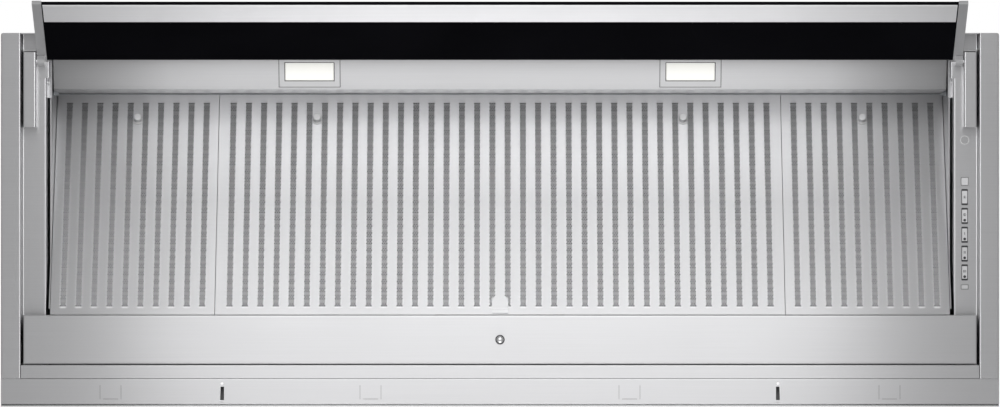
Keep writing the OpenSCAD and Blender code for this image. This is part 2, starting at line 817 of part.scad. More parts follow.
// Brackets under the channel floor: an angle behind the hinge and a tab in front of the box
bracket_y0 = 6.8;
bracket_l = 19;
bracket_lap = 3.7;
bracket_up = 12;
bracket_tab_y = 1.2;
bracket_tab_z = 4;
module hinge_brackets() {
    x0 = x_lip - bracket_lap;
    y0 = pin_y - pin_run + bracket_y0;
    color("silver") both_sides() {
        along_y(y0, y0 + bracket_l) polygon(ribbon(rounded([
            [x_hinge0 - fit_gap, channel_h - sheet_t], [x0, channel_h - sheet_t], [x0, channel_h + bracket_up]
        ]), sheet_t));
        block([x_hinge0, hinge_box_y0 - bracket_tab_y - sheet_t, bracket_tab_z],
            [x_hinge1, hinge_box_y0 - bracket_tab_y, channel_h]);
    }
}

// Visor, drawn folded with its outer face on the flange plane, then swung open about its pin
arm_side_gap = 1.1;
arm_root = 1;
arm_tip = 2;
arm_groove = 3;
arm_round = 1.2;
arm_lip = 0.6;
eye_dia = 12;
eye_inset = 2.4;
strip_t = 1.2;
strip_step = 16.7;
strip_lift = 0.7;
strip_r = 4;
pin_reach = 5;
x_arm1 = x_hinge0 - arm_side_gap;
x_arm0 = x_arm1 - arm_w;
module swung_open() {
    translate([0, pin_y, pin_rise]) rotate([-visor_open_a, 0, 0]) {
        translate([0, -pin_run, -pin_rise]) children();
    }
}
module visor_glass() {
    x = x_arm0 + arm_groove - fit_gap;
    color("black") swung_open() block([-x, 0, arm_lip], [x, visor_l, arm_lip + glass_t]);
}
module visor_arm() {
    color("silver") swung_open() difference() {
        union() {
            along_x(x_arm0, x_arm1) polygon(rounded([
                [pin_run, 0], [visor_l + arm_tip, 0], [visor_l + arm_tip, arm_t],
                [-arm_root, arm_t], [-arm_root, 0], [pin_run - arm_round, 0]
            ], arm_round, 3));
            translate([x_arm0 + eye_inset, pin_run, pin_rise]) rotate([0, 90, 0]) {
                cylinder(d = eye_dia, h = arm_w - eye_inset);
            }
            block([x_arm0 + eye_inset, pin_run - eye_dia / 2, arm_t / 2 + arm_groove],
                [x_arm1, pin_run + eye_dia / 2, pin_rise]);
        }
        block([x_arm0 - cut, -arm_root - cut, arm_lip - run_gap],
            [x_arm0 + arm_groove, visor_l + fit_gap, arm_lip + glass_t + run_gap]);
        translate([x_arm0 - cut, pin_run, pin_rise]) rotate([0, 90, 0]) {
            cylinder(d = pin_dia + 2 * run_gap, h = arm_w + 2 * cut);
        }
    }
}
module visor_arm_left() {
    mirrored() visor_arm();
}
module visor_arm_right() {
    visor_arm();
}
module visor_grip_strip() {
    z = arm_lip + glass_t + strip_t;
    x = x_arm0 - bezel_wall;
    color("gainsboro") swung_open() intersection() {
        along_x(-x, x) polygon(ribbon(rounded([
            [visor_l - strip_w, z], [visor_l - strip_step, z], [visor_l, z + strip_lift]
        ], strip_t * 1.25, 3), strip_t));
        translate([0, visor_l - strip_w / 2, 0]) linear_extrude(height = 2 * z) {
            polygon(round_rect(2 * x, strip_w + 2 * strip_r, strip_r));
        }
    }
}
module hinge_pins() {
    color("dimgray") both_sides() translate([x_arm0 + eye_inset, pin_y, pin_rise]) rotate([0, 90, 0]) {
        cylinder(d = pin_dia, h = arm_w - eye_inset + arm_side_gap + pin_reach);
    }
}

// Push buttons, from front to rear, sliding in the carrier behind the channel floor
slide_gap = 0.1;
button_proud = 0.4;
button_h = 9.4;
button_collar = 1;
button_collar_t = 1.2;
button_slot_h = 2;
switch_gap = 0.5;
carrier_half_w = 10;
carrier_end = 8;
board_t = 1.6;
board_edge = 1;
switch_w = 6;
switch_h = 2.2;
window_flange = 1.5;
button_r = 0.6;
windows = [[window_big_y, window_big_l], [window_small_y, window_small_l]];
carrier_y0 = window_big_y - carrier_end;
carrier_y1 = window_small_y + carrier_end;
z_seat = floor_top + button_slot_h;
z_button_top = channel_h - button_proud + button_h;
z_board = z_button_top + button_travel + switch_gap + switch_h;
module button(i) {
    color("gainsboro") translate([x_control, button_y(i)]) {
        along_z(channel_h - button_proud, z_button_top) plate_2d(button_w, button_l, button_r);
        along_z(z_seat, z_seat + button_collar_t) {
            square([button_w + 2 * button_collar, button_l + 2 * button_collar], center = true);
        }
    }
}
module button_light() {
    button(0);
}
module button_off() {
    button(1);
}
module button_speed_1() {
    button(2);
}
module button_speed_2() {
    button(3);
}
module button_speed_3() {
    button(4);
}
module control_carrier() {
    collar_w = button_w + 2 * button_collar + 2 * fit_gap;
    collar_l = button_l + 2 * button_collar + 2 * fit_gap;
    rim = 2 * window_flange + 2 * fit_gap;
    color("dimgray") difference() {
        translate([x_control, 0, 0]) {
            block([-carrier_half_w, carrier_y0, floor_top], [carrier_half_w, carrier_y1, z_board]);
        }
        for (i = [0:button_count - 1]) translate([x_control, button_y(i)]) {
            along_z(floor_top - cut, z_board + cut) {
                square([button_w + 2 * slide_gap, button_l + 2 * slide_gap], center = true);
            }
            along_z(z_seat, z_board + cut) square([collar_w, collar_l], center = true);
        }
        for (w = windows) translate([x_control, w[0]]) {
            along_z(floor_top - cut, floor_top + sheet_t + fit_gap) {
                square([window_w + rim, w[1] + rim], center = true);
            }
            along_z(floor_top - cut, z_board + cut) {
                square([button_w, w[1] - 2 * window_flange], center = true);
            }
        }
    }
}
module control_board() {
    w = carrier_half_w - board_edge;
    color("darkgreen") {
        translate([x_control, 0, 0]) {
            block([-w, carrier_y0 + board_edge, z_board], [w, carrier_y1 - board_edge, z_board + board_t]);
        }
        for (i = [0:button_count - 1]) translate([x_control, button_y(i)]) {
            along_z(z_board - switch_h, z_board) square(switch_w, center = true);
        }
        translate([x_control, carrier_y1 - 2 * carrier_end]) {
            along_z(z_board + board_t, z_board + board_t + switch_w) {
                square([carrier_half_w, switch_w], center = true);
            }
        }
    }
}
module indicator_windows() {
    color("dimgray") for (w = windows) {
        translate([x_control, w[0]]) {
            along_z(channel_h - button_proud, floor_top) {
                square([window_w - 2 * fit_gap, w[1] - 2 * fit_gap], center = true);
            }
            along_z(floor_top, floor_top + sheet_t) {
                square([window_w + 2 * window_flange, w[1] + 2 * window_flange], center = true);
            }
        }
    }
}
plug_barb = 0.5;
plug_rim = 0.8;
plug_recess = 0.35;
module channel_plug() {
    color("black") translate([x_control, plug_y]) {
        difference() {
            along_z(channel_h - plug_head_t, channel_h) circle(d = plug_dia);
            along_z(channel_h - plug_head_t - cut, channel_h - plug_head_t + plug_recess) {
                circle(d = plug_dia - 2 * plug_rim);
            }
        }
        along_z(channel_h, floor_top + 2 * sheet_t) circle(d = plug_hole_dia - 2 * slide_gap);
        along_z(floor_top + run_gap, floor_top + sheet_t) circle(d = plug_hole_dia + 2 * plug_barb);
    }
}

// Scroll housing: a spiral wall between two side plates, its outlet turned out under the box
fan_setback = 136;
fan_rise = 12;
fan_y = y_blower0 + fan_setback;
fan_z = box_h + fan_rise;
scroll_half_w = 78;
scroll_start_a = 75;
scroll_end_a = -180;
scroll_steps = 34;
scroll_t = 1.2;
inlet_r = 52;
outlet_flange_w = 10;
scroll_span_a = scroll_start_a - scroll_end_a;
function scroll_r(a) = scroll_r0 + (scroll_r1 - scroll_r0) * (scroll_start_a - a) / scroll_span_a;
function scroll_point(a) = [fan_y + scroll_r(a) * cos(a), fan_z + scroll_r(a) * sin(a)];
z_outlet = z_top - sheet_t;
scroll_path = concat(
    [[fan_y - scroll_r1, z_outlet]],
    [for (i = [0:scroll_steps]) scroll_point(scroll_end_a + scroll_span_a * i / scroll_steps)],
    [[fan_y + scroll_r0 * cos(scroll_start_a), z_outlet]]
);
module scroll_housing() {
    x = scroll_half_w + scroll_t;
    y0 = fan_y - scroll_r1 - scroll_t;
    y1 = fan_y + scroll_r0 * cos(scroll_start_a) + scroll_t;
    color("dimgray") {
        along_x(-x, x) polygon(ribbon(scroll_path, scroll_t));
        for (x0 = [-x, scroll_half_w]) along_x(x0, x0 + scroll_t) difference() {
            polygon(scroll_path);
            translate([fan_y, fan_z]) circle(r = inlet_r);
        }
        along_z(z_outlet - scroll_t, z_outlet) difference() {
            translate([-x - outlet_flange_w, y0 - outlet_flange_w]) {
                square([2 * (x + outlet_flange_w), y1 - y0 + 2 * outlet_flange_w]);
            }
            translate([-scroll_half_w, y0 + scroll_t]) square([2 * scroll_half_w, y1 - y0 - 2 * scroll_t]);
        }
    }
}
module fan_tube(x0, x1, r, r_in) {
    translate([x0, fan_y, fan_z]) rotate([0, 90, 0]) difference() {
        cylinder(r = r, h = x1 - x0);
        translate([0, 0, -cut]) cylinder(r = r_in, h = x1 - x0 + 2 * cut);
    }
}

// Impeller: two rings and a disc joined by curved blades, driven by the motor inside its left half
impeller_half_w = 72;
blade_depth = 10;
blade_t = 1;
ring_w = 3;
hub_r = 11;
hub_l = 20;
shaft_r = 4;
blade_a = 55;
module impeller() {
    r0 = impeller_r - blade_depth;
    blade = rounded([[r0 + blade_t, -blade_t], [r0 + blade_depth / 2, blade_t],
        [impeller_r - blade_t, (blade_depth / 2) * tan(blade_a)]], blade_depth / 2, 3);
    color("darkgray") {
        fan_tube(-impeller_half_w, -impeller_half_w + ring_w, impeller_r, r0);
        fan_tube(impeller_half_w - ring_w, impeller_half_w, impeller_r, r0);
        fan_tube(-ring_w, 0, impeller_r, shaft_r + run_gap);
        fan_tube(-ring_w, hub_l, hub_r, shaft_r + run_gap);
        translate([-impeller_half_w, fan_y, fan_z]) rotate([90, 0, 90]) {
            linear_extrude(height = 2 * impeller_half_w) {
                for (i = [0:blade_count - 1]) rotate(360 * i / blade_count) polygon(ribbon(blade, blade_t));
            }
        }
    }
}
motor_r = 40;
motor_end_x = -8;
shaft_end_x = 24;
motor_rib_t = 3;
module blower_motor() {
    x0 = -scroll_half_w - scroll_t;
    color("dimgray") translate([x0, fan_y, fan_z]) rotate([0, 90, 0]) {
        cylinder(r = motor_r - motor_rib_t, h = motor_end_x - x0);
        translate([0, 0, motor_rib_t]) cylinder(r = motor_r, h = motor_r);
        cylinder(r = hub_r, h = motor_end_x - x0 + motor_rib_t);
        cylinder(r = shaft_r, h = shaft_end_x - x0);
    }
}
spider_r = 24;
spider_reach = 64;
spider_arm_w = 10;
spider_arms = 3;
spider_t = 2;
module motor_bracket() {
    x1 = -scroll_half_w - scroll_t;
    color("lightgray") translate([x1 - spider_t, fan_y, fan_z]) rotate([90, 0, 90]) {
        linear_extrude(height = spider_t) {
            circle(r = spider_r);
            for (i = [0:spider_arms - 1]) rotate(90 + 360 * i / spider_arms) {
                translate([0, -spider_arm_w / 2]) square([spider_reach, spider_arm_w]);
            }
        }
    }
}

// Control box on the top plate, with a cable gland in its end
cbox_setback = 118;
cbox_w = 130;
cbox_x0 = -x_wall_out + cbox_setback;
cbox_x1 = cbox_x0 + cbox_w;
cbox_half_l = 60;
cbox_h = 45;
cbox_t = 2;
gland_hole_dia = 12;
gland_z = 24;
gland_body_dia = 20;
gland_cap_l = 14;
gland_nut_l = 4;
gland_bore_dia = 8;
module control_box() {
    color("dimgray") difference() {
        block([cbox_x0, -cbox_half_l, z_plate], [cbox_x1, cbox_half_l, z_plate + cbox_h]);
        block([cbox_x0 + cbox_t, -cbox_half_l + cbox_t, z_plate - cut],
            [cbox_x1 - cbox_t, cbox_half_l - cbox_t, z_plate + cbox_h - cbox_t]);
        translate([cbox_x0 - cut, 0, z_plate + gland_z]) rotate([0, 90, 0]) {
            cylinder(d = gland_hole_dia, h = cbox_t + 2 * cut);
        }
    }
}
module cable_gland() {
    color("black") translate([cbox_x0, 0, z_plate + gland_z]) rotate([0, 90, 0]) difference() {
        union() {
            translate([0, 0, -gland_nut_l]) cylinder(d = gland_body_dia, h = gland_nut_l, $fn = 6);
            translate([0, 0, -gland_cap_l]) cylinder(d = gland_body_dia - gland_nut_l, h = gland_cap_l);
            cylinder(d = gland_hole_dia - 2 * run_gap, h = cbox_t + gland_nut_l);
        }
        translate([0, 0, -gland_cap_l - cut]) cylinder(d = gland_bore_dia, h = 2 * (gland_cap_l + cut));
    }
}

// Hanging brackets: four angles on the outside of the side walls
hanger_y = [-140, 120];
hanger_w = 36;
hanger_h = 42;
hanger_reach = 30;
hanger_t = 2;
hanger_hole_x = 16;
hanger_hole_dia = 8.4;
hanger_raise = 2;
module hanging_brackets() {
    z1 = box_h + hanger_raise;
    color("silver") both_sides() for (y = hanger_y) difference() {
        along_y(y - hanger_w / 2, y + hanger_w / 2) polygon(ribbon(rounded([
            [x_wall_out, z1 - hanger_h], [x_wall_out, z1], [x_wall_out + hanger_reach, z1]
        ], 2 * hanger_t), hanger_t));
        translate([x_wall_out + hanger_hole_x, y, z1 - hanger_t - cut]) {
            cylinder(d = hanger_hole_dia, h = hanger_t + 2 * cut);
        }
    }
}

// Screw and rivet heads that hold the body together
head_dia = 7;
head_h = 2.5;
rivet_dia = 6;
rivet_h = 1;
rivet_setback = 58.4;
rivet_y = y_front + rivet_setback;
rivet_z = 44;
hanger_screw_drop = [14, 28];
flange_screw_inset = 6;
flange_screw_shares = [0.13, 0.5, 0.87];
collar_screw_r = collar_r + collar_flange_w / 2;
module head() {
    cylinder(d = head_dia, h = head_h);
}
module body_screws() {
    x_flange = x_blower + blower_flange_w - flange_screw_inset;
    color("gainsboro") {
        both_sides() {
            for (y = hanger_y, drop = hanger_screw_drop) {
                translate([x_wall_out + hanger_t, y, box_h - drop]) rotate([0, 90, 0]) head();
            }
            for (share = flange_screw_shares) {
                translate([x_flange, y_blower0 + share * blower_box_d, z_plate + sheet_t]) head();
            }
            translate([x_lip - rivet_h, rivet_y, rivet_z]) rotate([0, 90, 0]) {
                cylinder(d = rivet_dia, h = rivet_h);
            }
        }
        for (a = [45:90:315]) rotate(a) translate([collar_screw_r, 0, z_top + sheet_t]) head();
    }
}

side_rail_left();
side_rail_right();
front_rail();
rear_rail();
rear_flange();
rear_cover_panel();
cover_screw();
electronics_tray();
control_box();
cable_gland();
side_wall_left();
side_wall_right();
front_wall();
rear_wall();
top_plate();
blower_box();
duct_collar();
damper_axle();
damper_flap_front();
damper_flap_rear();
light_panel();
lamp_bezels();
lamp_lenses();
lamp_housings();
hinge_box_left();
hinge_box_right();
hinge_brackets();
hinge_pins();
visor_glass();
visor_grip_strip();
visor_arm_left();
visor_arm_right();
filter_ledge_left();
filter_ledge_right();
filter_ledge_front();
left_filter_cover();
left_filter_mesh();
left_filter_grip();
centre_filter_cover();
centre_filter_mesh();
centre_filter_grips();
centre_filter_tab();
right_filter_cover();
right_filter_mesh();
right_filter_grip();
button_light();
button_off();
button_speed_1();
button_speed_2();
button_speed_3();
control_carrier();
control_board();
indicator_windows();
channel_plug();
scroll_housing();
impeller();
blower_motor();
motor_bracket();
hanging_brackets();
body_screws();
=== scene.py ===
"""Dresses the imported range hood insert: finishes, perforated bands, button marks and the stage."""

import json
import math

import bmesh
import bpy
from bpy.props import FloatProperty, FloatVectorProperty, IntProperty, PointerProperty
from mathutils import Matrix, Vector


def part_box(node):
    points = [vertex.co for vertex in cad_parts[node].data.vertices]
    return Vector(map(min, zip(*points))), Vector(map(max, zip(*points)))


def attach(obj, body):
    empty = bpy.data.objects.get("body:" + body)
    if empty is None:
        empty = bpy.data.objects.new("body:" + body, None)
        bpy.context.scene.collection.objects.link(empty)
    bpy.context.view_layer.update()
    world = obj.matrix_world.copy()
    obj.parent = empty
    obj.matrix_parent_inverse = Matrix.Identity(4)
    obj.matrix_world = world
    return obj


bl_info = {
    "name": "Range Hood Insert",
    "version": (1, 0, 0),
    "blender": (4, 5, 0),
    "location": "3D View > Sidebar > Hood",
    "description": "Finishes, perforated filter bands and stage for a range hood insert",
    "category": "Object",
}

MM = 0.001
STAND_OFF = 0.05 * MM  # between a face and a thin piece laid along it
SAME_PLANE = 0.02 * MM  # a vertex nearer than this to a plane is on it
MARK_T = 0.12 * MM  # thickness of a button's mark
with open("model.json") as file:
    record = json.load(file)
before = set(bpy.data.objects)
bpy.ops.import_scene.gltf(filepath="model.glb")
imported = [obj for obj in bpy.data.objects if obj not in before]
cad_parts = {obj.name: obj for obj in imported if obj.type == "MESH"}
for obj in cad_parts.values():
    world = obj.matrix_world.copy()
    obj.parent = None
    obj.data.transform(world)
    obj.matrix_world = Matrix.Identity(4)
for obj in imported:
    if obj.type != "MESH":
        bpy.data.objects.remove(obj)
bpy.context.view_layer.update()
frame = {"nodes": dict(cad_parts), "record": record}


# Sizes and colours that a user would change


def colour(name, description, default):
    """A colour property."""
    return FloatVectorProperty(
        name=name, description=description, default=default, subtype="COLOR", size=3, min=0, max=1
    )


def length(name, description, default):
    """A length property in metres."""
    return FloatProperty(
        name=name, description=description, default=default,
        unit="LENGTH", subtype="DISTANCE", precision=5,
    )


def number(name, description, default, kind=FloatProperty, **values):
    """A plain number property."""
    return kind(name=name, description=description, default=default, **values)


def power(name, description, default):
    """A property for the power of a lamp in watts."""
    return number(name, description, default, unit="POWER")


class HoodFinishes(bpy.types.PropertyGroup):
    """Colours of the hood's finishes"""

    stainless: colour("Stainless", "Brushed steel of the frame and filters", (0.60, 0.60, 0.61))
    punched: colour("Punched stainless", "Perforated bands of the filters", (0.82, 0.82, 0.83))
    trim: colour("Trim stainless", "Grip strip of the visor", (0.86, 0.86, 0.87))
    zinc: colour("Zinc", "Galvanised sheet of the upper body", (0.52, 0.54, 0.56))
    bright: colour("Bright steel", "Polished pins and screw heads", (0.80, 0.80, 0.81))
    # painted shade: the mesh is given a dark colour for the shade inside the filters
    mesh: colour("Mesh", "Aluminium mesh inside the filters", (0.10, 0.10, 0.105))
    cast: colour("Cast aluminium", "Cooling bodies of the lamps", (0.50, 0.50, 0.51))
    glass: colour("Glass", "Black glass of the visor", (0.004, 0.004, 0.005))
    lens: colour("Lens", "Frosted lenses of the lamps", (0.95, 0.945, 0.905))
    buttons: colour("Buttons", "Silver lacquer of the push buttons", (0.62, 0.62, 0.63))
    grips: colour("Grips", "Satin grips of the filters", (0.92, 0.92, 0.93))
    plastic: colour("Plastic", "Moulded parts of blower and controls", (0.035, 0.035, 0.038))
    # painted shade: dark lines that stand for the shade in the gaps round the lamps, lenses and
    # windows
    gap_shade_line: colour("Seal", "Dark seals round the lamps and windows", (0.07, 0.07, 0.072))
    board: colour("Board", "Lacquer of the control board", (0.02, 0.12, 0.06))
    marks: colour("Marks", "Printed marks on the buttons", (0.03, 0.03, 0.032))


class HoodBands(bpy.types.PropertyGroup):
    """Sizes of the perforated bands, the lines of painted gap shade and the marks on the buttons"""

    hole_pitch: length("Hole pitch", "Distance between holes in a row", 2.75 * MM)
    hole_share: number("Hole share", "Hole width as a share of the pitch", 0.74)
    band_pitch: length("Band pitch", "Distance from one band to the next", 18.6 * MM)
    band_inset: length("Band inset", "Distance from a band's end to the filter's edge", 8.7 * MM)
    centre_bands: number("Centre bands", "Number of bands in the centre filter", 36, IntProperty)
    side_bands: number("Side bands", "Number of bands in each side filter", 10, IntProperty)
    lens_depth: length("Lens depth", "Size of a lamp lens along the panel", 22.0 * MM)
    # width of the lines of painted shade in the gaps round the lamps and lenses
    gap_shade_line: length("Seal", "Width of the seals round the lamps and lenses", 1.1 * MM)
    lamp_dot: length("Indicator", "Diameter of the indicator on a button", 3.4 * MM)
    lamp_dot_at: length("Indicator place", "From the middle of a button to its indicator", 5.1 * MM)
    mark: length("Mark", "Height of the mark on a button", 4.4 * MM)


class HoodStage(bpy.types.PropertyGroup):
    """Camera and lights"""

    distance: length("Distance", "From the camera to the underside of the flange", 8.4)
    offset: length("Offset", "Of the camera's axis towards the front", 18.3 * MM)
    lens: number("Lens", "Focal length in millimetres", 252.0)
    floor_drop: length("Floor drop", "From the flange down to the floor", 1.0)
    key_power: power("Key", "Power of the soft lamp below", 8.3)
    rear_power: power("Rear fill", "Power of the low lamp behind", 3.6)
    top_power: power("Top", "Power of the soft lamp above", 40.0)
    side_power: power("Side", "Power of each side lamp", 20.0)
    ambient: number("Ambient", "Strength of the light from all round", 0.27)


# Shader nodes, and the node groups that finishes share, each built once


def node_of(tree, kind, **values):
    """A node of that kind with its attributes set."""
    node = tree.nodes.new("ShaderNode" + kind)
    for key, value in values.items():
        setattr(node, key, value)
    return node


def feed(tree, value, socket):
    """Give an input socket its value: a link from an output, or a constant."""
    if isinstance(value, bpy.types.NodeSocket):
        tree.links.new(value, socket)
    else:
        socket.default_value = value


def math_of(tree, operation, *values):
    """The result of a math node on outputs or plain numbers."""
    node = node_of(tree, "Math", operation=operation)
    for value, socket in zip(values, node.inputs):
        feed(tree, value, socket)
    return node.outputs["Value"]


def map_range(tree, value, start, end, low, high):
    """A value that goes from low to high while another goes from start to end."""
    node = node_of(tree, "MapRange")
    limits = {"Value": value, "From Min": start, "From Max": end, "To Min": low, "To Max": high}
    for label, limit in limits.items():
        feed(tree, limit, node.inputs[label])
    return node.outputs["Result"]


def axes_of(tree, vector=None):
    """The X, Y and Z of a vector, or of the place on the piece."""
    if vector is None:
        vector = node_of(tree, "TexCoord").outputs["Object"]
    split = node_of(tree, "SeparateXYZ")
    tree.links.new(vector, split.inputs["Vector"])
    return split.outputs


def group(name, numbers, results):
    """A new shader node group: it takes a vector and named numbers, and gives named results."""
    tree = bpy.data.node_groups.new(name, "ShaderNodeTree")
    new_socket = tree.interface.new_socket
    new_socket(name="Vector", in_out="INPUT", socket_type="NodeSocketVector")
    for label, default in numbers.items():
        socket = new_socket(name=label, in_out="INPUT", socket_type="NodeSocketFloat")
        socket.default_value = default
    for label in results:
        new_socket(name=label, in_out="OUTPUT", socket_type="NodeSocketFloat")
    return tree, tree.nodes.new("NodeGroupInput"), tree.nodes.new("NodeGroupOutput")


def brushed_grain_group():
    """Long fine scratches: the noise is stretched along X, the way the sheet was brushed."""
    tree, given, out = group("Brushed grain", {"Along": 6.0, "Across": 900.0}, ("Grain", "Cloud"))
    link = tree.links.new
    scale = node_of(tree, "CombineXYZ")
    for axis, label in (("X", "Along"), ("Y", "Across"), ("Z", "Across")):
        link(given.outputs[label], scale.inputs[axis])
    stretched = node_of(tree, "VectorMath", operation="MULTIPLY")
    link(given.outputs["Vector"], stretched.inputs[0])
    link(scale.outputs["Vector"], stretched.inputs[1])
    for label, vector, size, detail in (
        ("Grain", stretched.outputs["Vector"], 1.0, 3.0),
        ("Cloud", given.outputs["Vector"], 5.0, 2.0),
    ):
        noise = node_of(tree, "TexNoise")
        noise.inputs["Scale"].default_value = size
        noise.inputs["Detail"].default_value = detail
        link(vector, noise.inputs["Vector"])
        link(noise.outputs["Fac"], out.inputs[label])


def spangle_group():
    """The crystal pattern of hot-dip zinc, its cells bent a little by noise."""
    bend_reach = 4 * MM
    tree, given, out = group("Zinc spangle", {"Cells": 150.0}, ("Cell", "Edge"))
    link = tree.links.new
    bend = node_of(tree, "TexNoise")
    bend.inputs["Scale"].default_value = 30.0
    link(given.outputs["Vector"], bend.inputs["Vector"])
    shift = node_of(tree, "VectorMath", operation="MULTIPLY_ADD")
    shift.inputs[1].default_value = (bend_reach, bend_reach, bend_reach)
    link(bend.outputs["Color"], shift.inputs[0])
    link(given.outputs["Vector"], shift.inputs[2])
    cells = node_of(tree, "TexVoronoi")
    link(shift.outputs["Vector"], cells.inputs["Vector"])
    link(given.outputs["Cells"], cells.inputs["Scale"])
    split = node_of(tree, "SeparateColor")
    link(cells.outputs["Color"], split.inputs["Color"])
    link(split.outputs["Red"], out.inputs["Cell"])
    link(cells.outputs["Distance"], out.inputs["Edge"])


def moulded_group():
    """The fine even grain of a moulded or lacquered surface, and slow changes of tone."""
    tree, given, out = group("Moulded grain", {"Fine": 1800.0, "Slow": 22.0}, ("Grain", "Tone"))
    link = tree.links.new
    for socket, label, detail in (("Fine", "Grain", 2.0), ("Slow", "Tone", 4.0)):
        noise = node_of(tree, "TexNoise")
        noise.inputs["Detail"].default_value = detail
        link(given.outputs["Vector"], noise.inputs["Vector"])
        link(given.outputs[socket], noise.inputs["Scale"])
        link(noise.outputs["Fac"], out.inputs[label])


# Finishes


NOISE_SPAN = (0.3, 0.7)  # most of a noise's values lie between these


class Finish:
    """A new material with its Principled shader and the small steps that the finishes share."""

    def __init__(self, name):
        self.material = bpy.data.materials.new(name)
        self.material.use_nodes = True
        self.tree = self.material.node_tree
        self.shader = self.tree.nodes["Principled BSDF"]
        self.place = node_of(self.tree, "TexCoord").outputs["Object"]

    def link(self, start, end):
        """Link an output to an input."""
        self.tree.links.new(start, end)

    def set(self, **values):
        """Constants on the shader's own sockets: roughness=0.3 sets Roughness."""
        for key, value in values.items():
            socket = key.replace("_", " ").title().replace("Ior", "IOR")
            self.shader.inputs[socket].default_value = value

    def pattern(self, name, **values):
        """A shader node group placed in this material with its own values."""
        node = node_of(self.tree, "Group", node_tree=bpy.data.node_groups[name])
        self.link(self.place, node.inputs["Vector"])
        for key, value in values.items():
            node.inputs[key.title()].default_value = value
        return node.outputs

    def tint(self, mask, dark, light, colour_value):
        """Base colour that varies between two shares of one colour."""
        ramp = node_of(self.tree, "ValToRGB")
        for element, position, share in zip(ramp.color_ramp.elements, NOISE_SPAN, (dark, light)):
            element.position = position
            element.color = (*(min(1.0, c * share) for c in colour_value), 1)
        self.link(mask, ramp.inputs["Fac"])
        self.link(ramp.outputs["Color"], self.shader.inputs["Base Color"])
        return ramp.outputs["Color"]

    def vary(self, mask, socket, low, high):
        """A shader value that varies over the surface between two limits."""
        self.link(map_range(self.tree, mask, *NOISE_SPAN, low, high), self.shader.inputs[socket])

    def relief(self, mask, depth, strength=0.3):
        """Fine relief of that depth in metres."""
        bump = node_of(self.tree, "Bump")
        bump.inputs["Distance"].default_value = depth
        bump.inputs["Strength"].default_value = strength
        self.link(mask, bump.inputs["Height"])
        self.link(bump.outputs["Normal"], self.shader.inputs["Normal"])


def stainless_finish(name, colour_value, rough=(0.36, 0.41), spread=0.94):
    """Brushed stainless steel whose highlights spread across the grain."""
    finish = Finish(name)
    finish.set(metallic=1.0, anisotropic=spread)
    grain = finish.pattern("Brushed grain")
    finish.tint(grain["Grain"], 0.98, 1.015, colour_value)
    finish.vary(grain["Cloud"], "Roughness", *rough)
    finish.relief(grain["Grain"], 0.02 * MM, 0.05)
    across = node_of(finish.tree, "CombineXYZ")
    across.inputs["Y"].default_value = 1.0
    finish.link(across.outputs["Vector"], finish.shader.inputs["Tangent"])
    return finish.material


def scale_base(tree, share):
    """Multiply the base colour of a finish by a share that varies over the surface."""
    shader = tree.nodes["Principled BSDF"]
    given = shader.inputs["Base Color"].links[0].from_socket
    scaled = node_of(tree, "VectorMath", operation="SCALE")
    tree.links.new(given, scaled.inputs["Vector"])
    tree.links.new(share, scaled.inputs["Scale"])
    tree.links.new(scaled.outputs["Vector"], shader.inputs["Base Color"])


def panel_finish(name, colour_value, start_x, end_x, end_shade_share):
    """Brushed steel of the light panel with painted shade: darker towards its ends, far from the
    lamps.
    """
    material = stainless_finish(name, colour_value)
    tree = material.node_tree
    aside = math_of(tree, "ABSOLUTE", axes_of(tree)["X"])
    # painted shade towards the panel's ends
    scale_base(tree, map_range(tree, aside, start_x, end_x, 1.0, end_shade_share))


def filter_finish(name, colour_value, painted_light_share, **finish_values):
    """Brushed filter steel with painted light and shade: lighter towards its front edge, a painted
    highlight, and darker in the two front corners, a painted shade.
    """
    front_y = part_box("centre_filter_cover")[0].y
    reach = 0.13
    corner_from_x, corner_to_x, corner_shade_share = 0.42, 0.56, 0.6
    material = stainless_finish(name, colour_value, **finish_values)
    tree = material.node_tree
    place = axes_of(tree)
    aside = math_of(tree, "ABSOLUTE", place["X"])
    # painted light along the front edge, turned to painted shade in the two front corners
    painted_front_share = map_range(
        tree, aside, corner_from_x, corner_to_x, painted_light_share, painted_light_share * corner_shade_share
    )
    scale_base(tree, map_range(tree, place["Y"], front_y, front_y + reach, painted_front_share, 1.0))


def zinc_finish(name, colour_value):
    """Galvanised sheet."""
    finish = Finish(name)
    finish.set(metallic=0.9)
    spangle = finish.pattern("Zinc spangle")
    finish.tint(spangle["Cell"], 0.93, 1.05, colour_value)
    finish.vary(spangle["Cell"], "Roughness", 0.38, 0.48)
    finish.relief(spangle["Edge"], 0.05 * MM, 0.15)


def bright_finish(name, colour_value):
    """Polished steel with faint turning marks."""
    finish = Finish(name)
    finish.set(metallic=1.0)
    grain = finish.pattern("Moulded grain", fine=900.0, slow=60.0)
    finish.tint(grain["Tone"], 0.95, 1.03, colour_value)
    finish.vary(grain["Tone"], "Roughness", 0.14, 0.22)
    finish.relief(grain["Grain"], 0.01 * MM, 0.1)


def wire_mesh_finish(name, colour_value):
    """Layers of knitted aluminium wire: crossing waves, with painted shade in the gaps and over the
    whole mesh, which is dark for the shade inside the filter.
    """
    finish = Finish(name)
    finish.set(metallic=0.8)
    lay = math.radians(32)
    waves = []
    for turn in (lay, -lay):
        turned = node_of(finish.tree, "Mapping")
        turned.inputs["Rotation"].default_value = (0, 0, turn)
        finish.link(finish.place, turned.inputs["Vector"])
        wave = node_of(finish.tree, "TexWave")
        wave.inputs["Scale"].default_value = 170.0
        wave.inputs["Distortion"].default_value = 1.5
        finish.link(turned.outputs["Vector"], wave.inputs["Vector"])
        waves.append(wave.outputs["Fac"])
    woven = math_of(finish.tree, "MAXIMUM", *waves)
    finish.tint(woven, 0.35, 1.1, colour_value)
    finish.vary(woven, "Roughness", 0.6, 0.36)
    finish.relief(woven, 0.4 * MM, 0.6)


